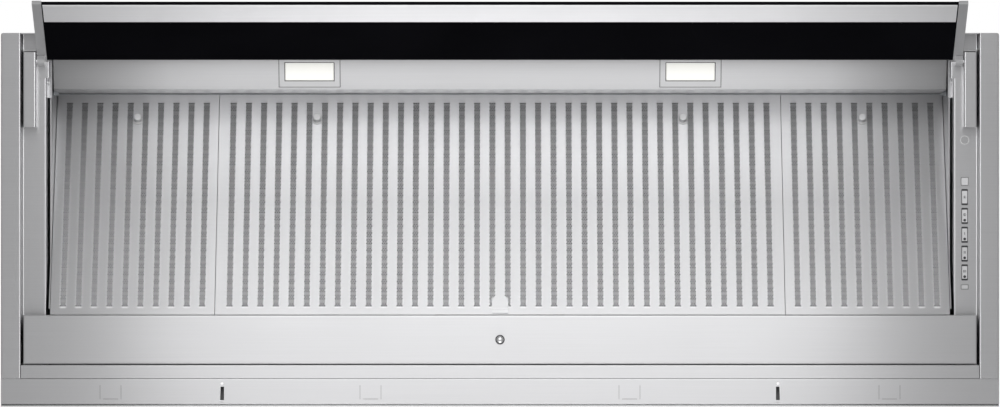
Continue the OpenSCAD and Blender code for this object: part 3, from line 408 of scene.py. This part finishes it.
def cast_finish(name, colour_value, metal=1.0, rough=(0.42, 0.6)):
    """A cast or painted surface with a slight orange peel."""
    finish = Finish(name)
    finish.set(metallic=metal)
    grain = finish.pattern("Moulded grain", fine=700.0, slow=40.0)
    finish.tint(grain["Tone"], 0.9, 1.06, colour_value)
    finish.vary(grain["Tone"], "Roughness", *rough)
    finish.relief(grain["Grain"], 0.08 * MM, 0.3)


def glass_finish(name, colour_value):
    """Black tempered glass with a trace of wiping marks in its gloss."""
    finish = Finish(name)
    finish.set(ior=1.5, specular_ior_level=0.0)
    marks = finish.pattern("Brushed grain", along=3.0, across=40.0)
    finish.tint(marks["Cloud"], 0.8, 1.2, colour_value)
    finish.vary(marks["Grain"], "Roughness", 0.02, 0.06)


def plastic_finish(name, colour_value, rough=(0.42, 0.56), metal=0.0):
    """Moulded plastic, or lacquer where metal is above 0."""
    finish = Finish(name)
    finish.set(metallic=metal)
    grain = finish.pattern("Moulded grain")
    finish.tint(grain["Tone"], 0.92, 1.08, colour_value)
    finish.vary(grain["Tone"], "Roughness", *rough)
    finish.relief(grain["Grain"], 0.03 * MM, 0.25)
    return finish.material


def grip_finish(name, colour_value):
    """Satin grip with painted shade: the turned neck above is darkened by the way it faces, the flat
    face below stays light.
    """
    facing_down, leaning, neck_shade_share = -0.82, -0.7, 0.4
    material = plastic_finish(name, colour_value, rough=(0.36, 0.44), metal=0.35)
    tree = material.node_tree
    normal = axes_of(tree, node_of(tree, "NewGeometry").outputs["True Normal"])
    # painted shade on the faces that turn away from straight down
    scale_base(tree, map_range(tree, normal["Z"], facing_down, leaning, 1.0, neck_shade_share))


def shade_finish(name, colour_value, low, high):
    """Brushed steel with painted shade: dark on the tongues bent up between its edges and in its
    pressed lines.
    """
    tongue_reach, tongue_from, tongue_shade_share = 0.3, 1.5 * MM, 0.12
    line_depth, line_shade_share = 0.4 * MM, 0.55
    material = stainless_finish(name, colour_value)
    tree = material.node_tree
    place = axes_of(tree)
    middle_y, reach = (low.y + high.y) / 2, (high.y - low.y) * tongue_reach
    between = math_of(tree, "COMPARE", place["Y"], middle_y, reach)
    above = math_of(tree, "GREATER_THAN", place["Z"], low.z + tongue_from)
    tongue = math_of(tree, "MULTIPLY", between, above)
    pressed = math_of(tree, "COMPARE", place["Z"], low.z + line_depth, line_depth / 8)
    # painted shade on the tongues and in the pressed lines
    for mask, share in ((tongue, tongue_shade_share), (pressed, line_shade_share)):
        scale_base(tree, map_range(tree, mask, 0.0, 1.0, 1.0, share))


def lens_finish(name, colour_value):
    """Frosted lens, lit from behind, with a fine prism pattern."""
    finish = Finish(name)
    finish.set(roughness=0.45, emission_strength=0.2)
    grain = finish.pattern("Moulded grain", fine=1100.0, slow=30.0)
    base = finish.tint(grain["Tone"], 0.985, 1.0, colour_value)
    finish.link(base, finish.shader.inputs["Emission Color"])
    finish.relief(grain["Grain"], 0.06 * MM, 0.3)


def board_finish(name, colour_value):
    """Control board: tracks show a little through the lacquer."""
    finish = Finish(name)
    finish.set(coat_weight=0.4)
    tracks = node_of(finish.tree, "TexBrick")
    tracks.inputs["Scale"].default_value = 160.0
    tracks.inputs["Mortar Size"].default_value = 0.03
    finish.link(finish.place, tracks.inputs["Vector"])
    finish.tint(tracks.outputs["Fac"], 1.0, 2.2, colour_value)
    finish.vary(tracks.outputs["Fac"], "Roughness", 0.3, 0.45)
    finish.relief(tracks.outputs["Fac"], 0.04 * MM, 0.4)


def screw_finish(name, inner, outer, low, high, inner_share):
    """Metal inside a plain rim: the tone changes at a share of the round piece's radius."""
    centre, radius = (low + high) / 2, (high.x - low.x) / 2
    finish = Finish(name)
    away = node_of(finish.tree, "Mapping")
    away.inputs["Location"].default_value = (-centre.x, -centre.y, 0)
    away.inputs["Scale"].default_value = (1, 1, 0)
    finish.link(finish.place, away.inputs["Vector"])
    reach = node_of(finish.tree, "VectorMath", operation="LENGTH")
    finish.link(away.outputs["Vector"], reach.inputs[0])
    inside = math_of(finish.tree, "LESS_THAN", reach.outputs["Value"], radius * inner_share)
    blend = node_of(finish.tree, "Mix", data_type="RGBA")
    blend.inputs["A"].default_value = (*outer, 1)
    blend.inputs["B"].default_value = (*inner, 1)
    finish.link(inside, blend.inputs["Factor"])
    finish.link(blend.outputs["Result"], finish.shader.inputs["Base Color"])
    finish.link(inside, finish.shader.inputs["Metallic"])
    grain = finish.pattern("Moulded grain", fine=900.0, slow=60.0)
    finish.vary(grain["Tone"], "Roughness", 0.24, 0.34)


def dress(finish, *nodes):
    """Give these CAD nodes that finish alone."""
    for node in nodes:
        materials = frame["nodes"][node].data.materials
        materials.clear()
        materials.append(bpy.data.materials[finish])


FINISH_OF_SLOT = {
    "stainless_steel": "Stainless",
    "galvanised_steel": "Zinc",
    "bright_steel": "Bright steel",
    "mesh_aluminium": "Wire mesh",
    "cast_aluminium": "Cast aluminium",
    "black_glass": "Black glass",
    "frosted_lens": "Frosted lens",
    "silver_plastic": "Silver lacquer",
    "dark_plastic": "Dark plastic",
    "board": "Board lacquer",
    "motor_paint": "Motor paint",
}
FINISH_OF_NODES = {
    "Stainless": ("filter_ledge_left", "filter_ledge_right", "filter_ledge_front"),
    "Panel stainless": ("light_panel",),
    "Filter stainless": ("left_filter_cover", "centre_filter_cover", "right_filter_cover"),
    "Satin grip": ("left_filter_grip", "centre_filter_grips", "right_filter_grip"),
    "Trim stainless": ("visor_grip_strip",),
    "Shaded stainless": ("rear_flange",),
    "Plug face": ("channel_plug",),
    "Screw head": ("cover_screw",),
}


class HOOD_OT_finishes(bpy.types.Operator):
    """Make every finish and give each CAD node its own: most take the one of their material slot"""

    bl_idname = "hood.finishes"
    bl_label = "Finishes"

    def execute(self, context):
        chosen = context.scene.hood_finishes
        steel = chosen.stainless
        # the plug's rim gets a light grey, a painted highlight on its bevel
        plug_share, rim_highlight_grey = 0.6, (0.8, 0.8, 0.8)
        plug_steel = [c * plug_share for c in steel]
        brushed_grain_group()
        spangle_group()
        moulded_group()
        stainless_finish("Stainless", steel)
        # painted light along the filters' front edges and painted shade in their front corners
        filter_finish("Filter stainless", steel, painted_light_share=1.55)
        filter_finish(
            "Punched stainless", chosen.punched, painted_light_share=1.2, rough=(0.5, 0.58), spread=0.0
        )
        # painted shade at the light panel's ends
        panel_finish("Panel stainless", steel, start_x=0.4, end_x=0.56, end_shade_share=0.56)
        # painted shade on the rear flange's tongues and pressed lines
        shade_finish("Shaded stainless", steel, *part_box("rear_flange"))
        stainless_finish("Trim stainless", chosen.trim, rough=(0.42, 0.48), spread=0.5)
        zinc_finish("Zinc", chosen.zinc)
        bright_finish("Bright steel", chosen.bright)
        wire_mesh_finish("Wire mesh", chosen.mesh)
        cast_finish("Cast aluminium", chosen.cast)
        glass_finish("Black glass", chosen.glass)
        lens_finish("Frosted lens", chosen.lens)
        plastic_finish("Silver lacquer", chosen.buttons, rough=(0.3, 0.38), metal=0.6)
        grip_finish("Satin grip", chosen.grips)
        plastic_finish("Dark plastic", chosen.plastic)
        board_finish("Board lacquer", chosen.board)
        cast_finish("Motor paint", chosen.plastic, metal=0.0, rough=(0.3, 0.42))
        plastic_finish("Printed marks", chosen.marks)
        # painted shade in the gaps round the lamps, lenses and windows
        plastic_finish("Seal", chosen.gap_shade_line)
        # painted highlight on the plug's rim
        screw_finish("Plug face", plug_steel, rim_highlight_grey, *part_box("channel_plug"), inner_share=0.9)
        screw_finish(
            "Screw head", chosen.bright, chosen.plastic, *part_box("cover_screw"), inner_share=0.74
        )
        for row in frame["record"]["subparts"]:
            dress(FINISH_OF_SLOT[row["material_slot"]], row["node"])
        for finish, nodes in FINISH_OF_NODES.items():
            dress(finish, *nodes)
        return {"FINISHED"}


# Helpers for new pieces


def piece(name, mesh_maker, finish, body):
    """A new piece from a bmesh, with its finish, riding on its CAD body."""
    mesh = bpy.data.meshes.new(name)
    mesh_maker.to_mesh(mesh)
    mesh_maker.free()
    mesh.materials.append(bpy.data.materials[finish])
    made = bpy.data.objects.new(name, mesh)
    bpy.context.scene.collection.objects.link(made)
    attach(made, body)


def slope_frame():
    """The filters' frame and length: origin at the front lower edge, X across, Y down the slope."""
    low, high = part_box("centre_filter_cover")
    corners = [v.co for v in frame["nodes"]["centre_filter_cover"].data.vertices]
    near = 0.1 * MM
    front_z = min(c.z for c in corners if c.y < low.y + near)
    rear_z = min(c.z for c in corners if c.y > high.y - near)
    run, drop = high.y - low.y, front_z - rear_z
    turn = Matrix.Rotation(-math.atan2(drop, run), 4, "X")
    return Matrix.Translation((0, low.y, front_z)) @ turn, math.hypot(run, drop)


def extent(points):
    """The lowest and the highest corner of the box round some points."""
    low = Vector([min(p[axis] for p in points) for axis in range(3)])
    high = Vector([max(p[axis] for p in points) for axis in range(3)])
    return low, high


def hexagon(pitch, hole_share):
    """One hexagonal cell facing down; a share above 0 gives it a hole with a low wall behind."""
    hole_wall = 0.25 * MM
    cell = bmesh.new()
    bmesh.ops.create_circle(cell, cap_ends=True, segments=6, radius=pitch / math.sqrt(3))
    if hole_share > 0:
        whole = cell.faces[:]
        bmesh.ops.inset_individual(cell, faces=whole, thickness=pitch / 2 * (1 - hole_share))
        edges = whole[0].edges[:]
        bmesh.ops.delete(cell, geom=whole, context="FACES_ONLY")
        rim = bmesh.ops.extrude_edge_only(cell, edges=edges)["geom"]
        deep = [v for v in rim if isinstance(v, bmesh.types.BMVert)]
        bmesh.ops.translate(cell, verts=deep, vec=(0, 0, hole_wall))
    bmesh.ops.reverse_faces(cell, faces=[f for f in cell.faces if f.normal.z > 0.5])
    made = bpy.data.meshes.new("cell")
    cell.to_mesh(made)
    cell.free()
    return made


def perforated_strip(pitch, hole_share, span):
    """One band in its own plane: rows of three and two holes in turn, plain cells round them."""
    holed, plain = hexagon(pitch, hole_share), hexagon(pitch, 0)
    columns, spare = 3, 2
    row_step = pitch * math.sqrt(3) / 2
    rows = int(span / row_step) - 1
    strip = bmesh.new()
    for row in range(-spare, rows + spare):
        wide = row % 2
        for column in range(columns + wide):
            border = wide and column in (0, columns)
            start = len(strip.verts)
            strip.from_mesh(holed if 0 <= row < rows and not border else plain)
            strip.verts.ensure_lookup_table()
            x = (column - (columns - 1 + wide) / 2) * pitch
            y = (row - (rows - 1) / 2) * row_step
            bmesh.ops.translate(strip, verts=strip.verts[start:], vec=(x, y, 0))
    bmesh.ops.remove_doubles(strip, verts=strip.verts[:], dist=pitch * 0.01)
    made = bpy.data.meshes.new("strip")
    strip.to_mesh(made)
    strip.free()
    for cell in (holed, plain):
        bpy.data.meshes.remove(cell)
    return made


class HOOD_OT_bands(bpy.types.Operator):
    """Lay a perforated strip into each slot of the filters, level with the steel round it"""

    bl_idname = "hood.bands"
    bl_label = "Perforated bands"

    def execute(self, context):
        sizes = context.scene.hood_bands
        place, slope_l = slope_frame()
        strip = perforated_strip(sizes.hole_pitch, sizes.hole_share, slope_l - 2 * sizes.band_inset)
        for side, count, pieces in (
            ("left", sizes.side_bands, 1),
            ("centre", sizes.centre_bands, 4),
            ("right", sizes.side_bands, 1),
        ):
            low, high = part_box(side + "_filter_cover")
            middle = (low.x + high.x) / 2
            for part in range(pieces):
                maker = bmesh.new()
                for i in range(part * count // pieces, (part + 1) * count // pieces):
                    start = len(maker.verts)
                    maker.from_mesh(strip)
                    maker.verts.ensure_lookup_table()
                    at = (middle + (i - (count - 1) / 2) * sizes.band_pitch, slope_l / 2, STAND_OFF)
                    bmesh.ops.translate(maker, verts=maker.verts[start:], vec=at)
                bmesh.ops.transform(maker, matrix=place, verts=maker.verts[:])
                name = f"{side}_perforated_bands_{part + 1}"
                piece(name, maker, "Punched stainless", side + "_filter")
        bpy.data.meshes.remove(strip)
        return {"FINISHED"}


def flat_ring(maker, width, depth, band, turn, at):
    """A flat rectangular ring of that outer size, turned onto its plane, facing down."""
    outer = bmesh.ops.create_grid(maker, x_segments=1, y_segments=1, size=0.5)["verts"]
    bmesh.ops.scale(maker, verts=outer, vec=(width, depth, 1))
    whole = list({f for v in outer for f in v.link_faces})
    bmesh.ops.inset_individual(maker, faces=whole, thickness=band)
    corners = list({v for f in whole for v in f.verts} | set(outer))
    bmesh.ops.delete(maker, geom=whole, context="FACES_ONLY")
    bmesh.ops.reverse_faces(maker, faces=list({f for v in corners for f in v.link_faces}))
    bmesh.ops.transform(maker, matrix=Matrix.Translation(at) @ turn, verts=corners)


class HOOD_OT_gap_shade_lines(bpy.types.Operator):
    """Lay a thin dark line of painted shade round each lamp, each lens and each small window, for
    the shade in the gaps at their edges
    """

    bl_idname = "hood.seals"
    bl_label = "Gap shade lines"

    def execute(self, context):
        sizes = context.scene.hood_bands
        window_share = 0.6
        self.lamp_gap_shade_lines(sizes.gap_shade_line, sizes.lens_depth)
        self.window_gap_shade_lines(sizes.gap_shade_line * window_share)
        return {"FINISHED"}

    def lamp_gap_shade_lines(self, band, lens_depth):
        """A line of painted shade round each lamp on the panel and one round its lens on the bezel.
        """
        bezels = frame["nodes"]["lamp_bezels"].data
        face = max(bezels.polygons, key=lambda f: -f.normal.z * f.area)
        turn = Vector((0, 0, -1)).rotation_difference(face.normal).to_matrix().to_4x4()
        right = [v.co for v in bezels.vertices if v.co.x > 0]
        low, high = extent([c for c in right if abs((c - face.center) @ face.normal) < SAME_PLANE])
        centre = (low + high) / 2
        width, depth = high.x - low.x, (high.y - low.y) / abs(face.normal.z)
        lenses = frame["nodes"]["lamp_lenses"].data
        low, high = extent([v.co for v in lenses.vertices if v.co.x > 0])
        lens_width = high.x - low.x
        bezel_t = 1.2 * MM
        maker = bmesh.new()
        for side in (-1, 1):
            at = Vector((centre.x * side, centre.y, centre.z)) + face.normal * STAND_OFF
            on_panel = at - face.normal * bezel_t
            flat_ring(maker, width + 2 * band, depth + 2 * band, band, turn, on_panel)
            flat_ring(maker, lens_width + 2 * band, lens_depth + 2 * band, band, turn, at)
        piece("lamp_gap_shade_lines", maker, "Seal", "hood_body")

    def window_gap_shade_lines(self, band):
        """A line of painted shade along the edge of each small window in the channel."""
        low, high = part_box("indicator_windows")
        middle = (low.y + high.y) / 2
        windows = frame["nodes"]["indicator_windows"].data
        face = [v.co for v in windows.vertices if v.co.z < low.z + SAME_PLANE]
        maker = bmesh.new()
        for first, last in ((low.y, middle), (middle, high.y)):
            near, far = extent([c for c in face if first <= c.y <= last])
            at = (near + far) / 2 - Vector((0, 0, STAND_OFF))
            flat_ring(maker, far.x - near.x, far.y - near.y, band, Matrix.Identity(4), at)
        piece("window_gap_shade_lines", maker, "Seal", "hood_body")


BUTTONS = ("light", "off", "speed_1", "speed_2", "speed_3")


def disc(maker, radius, segments, at):
    """A low raised disc on the button's face."""
    made = bmesh.ops.create_cone(
        maker, cap_ends=True, segments=segments, radius1=radius, radius2=radius, depth=MARK_T
    )
    bmesh.ops.translate(maker, verts=made["verts"], vec=at)


def bar(maker, width, height, at, turn=0.0):
    """A low raised bar on the button's face."""
    made = bmesh.ops.create_cube(maker, size=1)["verts"]
    bmesh.ops.scale(maker, verts=made, vec=(width, height, MARK_T))
    bmesh.ops.rotate(maker, verts=made, cent=(0, 0, 0), matrix=Matrix.Rotation(turn, 3, "Z"))
    bmesh.ops.translate(maker, verts=made, vec=at)


def flat_circle(maker, radius, inner_share, at):
    """A flat round ring just below the button's face."""
    outer = bmesh.ops.create_circle(maker, cap_ends=False, segments=20, radius=radius)["verts"]
    edges = list({e for v in outer for e in v.link_edges})
    extruded = bmesh.ops.extrude_edge_only(maker, edges=edges)["geom"]
    inner = [v for v in extruded if isinstance(v, bmesh.types.BMVert)]
    bmesh.ops.scale(maker, verts=inner, vec=(inner_share, inner_share, 1))
    bmesh.ops.translate(maker, verts=outer + inner, vec=at - Vector((0, 0, MARK_T / 2)))


def button_mark(maker, kind, size, at):
    """Generic mark: a lamp with rays, a bar in a ring for off, one to three bars for the speeds."""
    line = size * 0.14
    if kind == "light":
        disc(maker, size * 0.2, 16, at)
        rays, ray_reach, ray_l, ray_w = 8, size * 0.4, size * 0.18, line * 0.7
        for i in range(rays):
            turn = 2 * math.pi * i / rays
            ray_at = at + Vector((math.cos(turn) * ray_reach, math.sin(turn) * ray_reach, 0))
            bar(maker, ray_l, ray_w, ray_at, turn)
    elif kind == "off":
        flat_circle(maker, size * 0.38, 0.7, at)
        bar(maker, line, size * 0.4, at)
    else:
        count, step, bar_l = int(kind[-1]), line * 2.2, size * 0.7
        for i in range(count):
            bar(maker, line, bar_l, at + Vector(((i - (count - 1) / 2) * step, 0, 0)))


class HOOD_OT_buttons(bpy.types.Operator):
    """Print a generic mark and an indicator on the push buttons"""

    bl_idname = "hood.buttons"
    bl_label = "Buttons"

    def execute(self, context):
        sizes = context.scene.hood_bands
        mark_shift = 0.3
        for kind in BUTTONS:
            low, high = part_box("button_" + kind)
            face = Vector(((low.x + high.x) / 2, (low.y + high.y) / 2, low.z))
            maker = bmesh.new()
            at = face - Vector((0, 0, MARK_T / 4))
            if kind == "light":
                button_mark(maker, kind, sizes.mark, at)
            else:
                dot_at = Vector((0, sizes.lamp_dot_at, 0))
                button_mark(maker, kind, sizes.mark, at - dot_at * mark_shift)
                disc(maker, sizes.lamp_dot / 2, 24, at + dot_at)
            piece("mark_" + kind, maker, "Printed marks", kind + "_button")
        return {"FINISHED"}


class HOOD_OT_stage(bpy.types.Operator):
    """Set the camera under the hood, the soft lamps, the white surroundings and the floor"""

    bl_idname = "hood.stage"
    bl_label = "Stage"

    def execute(self, context):
        stage = context.scene.hood_stage
        key_z = 0.05 - stage.floor_drop
        self.camera(context, stage)
        for name, place, degrees, size, watts in (
            ("Key below", (0, -0.5, key_z), (180, 0, 0), (0.99, 0.9), stage.key_power),
            ("Rear fill", (0, 1.0, -0.17), (-93, 0, 0), (0.9, 0.26), stage.rear_power),
            ("Top", (0, 0.4, 2.6), (-9, 0, 0), (2.4, 2.4), stage.top_power),
            ("Side left", (-2.6, -1.6, 1.4), (64, 0, -58), (1.6, 1.6), stage.side_power),
            ("Side right", (2.6, -1.6, 1.4), (64, 0, 58), (1.6, 1.6), stage.side_power),
        ):
            self.lamp(context, name, place, degrees, size, watts)
        self.surroundings(context, stage.ambient)
        self.floor(context, stage.floor_drop)
        context.scene.view_settings.view_transform = "Standard"
        return {"FINISHED"}

    def camera(self, context, stage):
        """The camera far below, looking straight up."""
        data = bpy.data.cameras.new("Camera")
        data.lens = stage.lens
        data.clip_end = 100
        camera = bpy.data.objects.new("Camera", data)
        camera.location = (0, -stage.offset, -stage.distance)
        camera.rotation_euler = (math.pi, 0, 0)
        context.scene.collection.objects.link(camera)
        context.scene.camera = camera

    def lamp(self, context, name, place, degrees, size, watts):
        """A rectangular soft lamp that the camera doesn't see."""
        data = bpy.data.lights.new(name, "AREA")
        data.shape = "RECTANGLE"
        (data.size, data.size_y), data.energy = size, watts
        lamp = bpy.data.objects.new(name, data)
        lamp.location = place
        lamp.rotation_euler = [math.radians(angle) for angle in degrees]
        lamp.visible_camera = False
        context.scene.collection.objects.link(lamp)

    def surroundings(self, context, ambient):
        """White where the camera sees it or glass shows it, softer as light."""
        world = bpy.data.worlds.new("Surroundings")
        world.use_nodes = True
        tree = world.node_tree
        back = tree.nodes["Background"]
        back.inputs["Color"].default_value = (1, 1, 1, 1)
        ray = node_of(tree, "LightPath").outputs
        seen = math_of(tree, "MAXIMUM", ray["Is Camera Ray"], ray["Is Transmission Ray"])
        feed(tree, map_range(tree, seen, 0.0, 1.0, ambient, 1.0), back.inputs["Strength"])
        context.scene.world = world

    def floor(self, context, drop):
        """A pale floor that is clear from below, so that the hood can be seen from there."""
        half = 9.0
        maker = bmesh.new()
        bmesh.ops.create_grid(maker, x_segments=1, y_segments=1, size=half)
        bmesh.ops.translate(maker, verts=maker.verts[:], vec=(0, 0, -drop))
        mesh = bpy.data.meshes.new("Floor")
        maker.to_mesh(mesh)
        maker.free()
        material = bpy.data.materials.new("Pale floor")
        material.use_nodes = True
        tree = material.node_tree
        shader = tree.nodes["Principled BSDF"]
        shader.inputs["Base Color"].default_value = (0.86, 0.86, 0.86, 1)
        shader.inputs["Roughness"].default_value = 0.9
        behind = node_of(tree, "NewGeometry").outputs["Backfacing"]
        shadow = node_of(tree, "LightPath").outputs["Is Shadow Ray"]
        mix = node_of(tree, "MixShader")
        feed(tree, math_of(tree, "MAXIMUM", behind, shadow), mix.inputs["Fac"])
        feed(tree, shader.outputs["BSDF"], mix.inputs[1])
        feed(tree, node_of(tree, "BsdfTransparent").outputs["BSDF"], mix.inputs[2])
        feed(tree, mix.outputs["Shader"], tree.nodes["Material Output"].inputs["Surface"])
        mesh.materials.append(material)
        floor = bpy.data.objects.new("Floor", mesh)
        context.scene.collection.objects.link(floor)


class HOOD_PT_panel(bpy.types.Panel):
    """The hood's steps in the sidebar"""

    bl_idname = "HOOD_PT_panel"
    bl_label = "Range Hood Insert"
    bl_space_type = "VIEW_3D"
    bl_region_type = "UI"
    bl_category = "Hood"

    def draw(self, context):
        for operator in OPERATORS:
            self.layout.operator(operator.bl_idname)


OPERATORS = (HOOD_OT_finishes, HOOD_OT_bands, HOOD_OT_gap_shade_lines, HOOD_OT_buttons, HOOD_OT_stage)
GROUPS = {"hood_finishes": HoodFinishes, "hood_bands": HoodBands, "hood_stage": HoodStage}


def register():
    for cls in (*GROUPS.values(), *OPERATORS, HOOD_PT_panel):
        bpy.utils.register_class(cls)
    for name, cls in GROUPS.items():
        setattr(bpy.types.Scene, name, PointerProperty(type=cls))


def unregister():
    for name in GROUPS:
        delattr(bpy.types.Scene, name)
    for cls in (HOOD_PT_panel, *reversed(OPERATORS), *GROUPS.values()):
        bpy.utils.unregister_class(cls)


def main():
    register()
    bpy.ops.hood.finishes()
    bpy.ops.hood.bands()
    bpy.ops.hood.seals()
    bpy.ops.hood.buttons()
    bpy.ops.hood.stage()


if __name__ == "__main__":
    main()
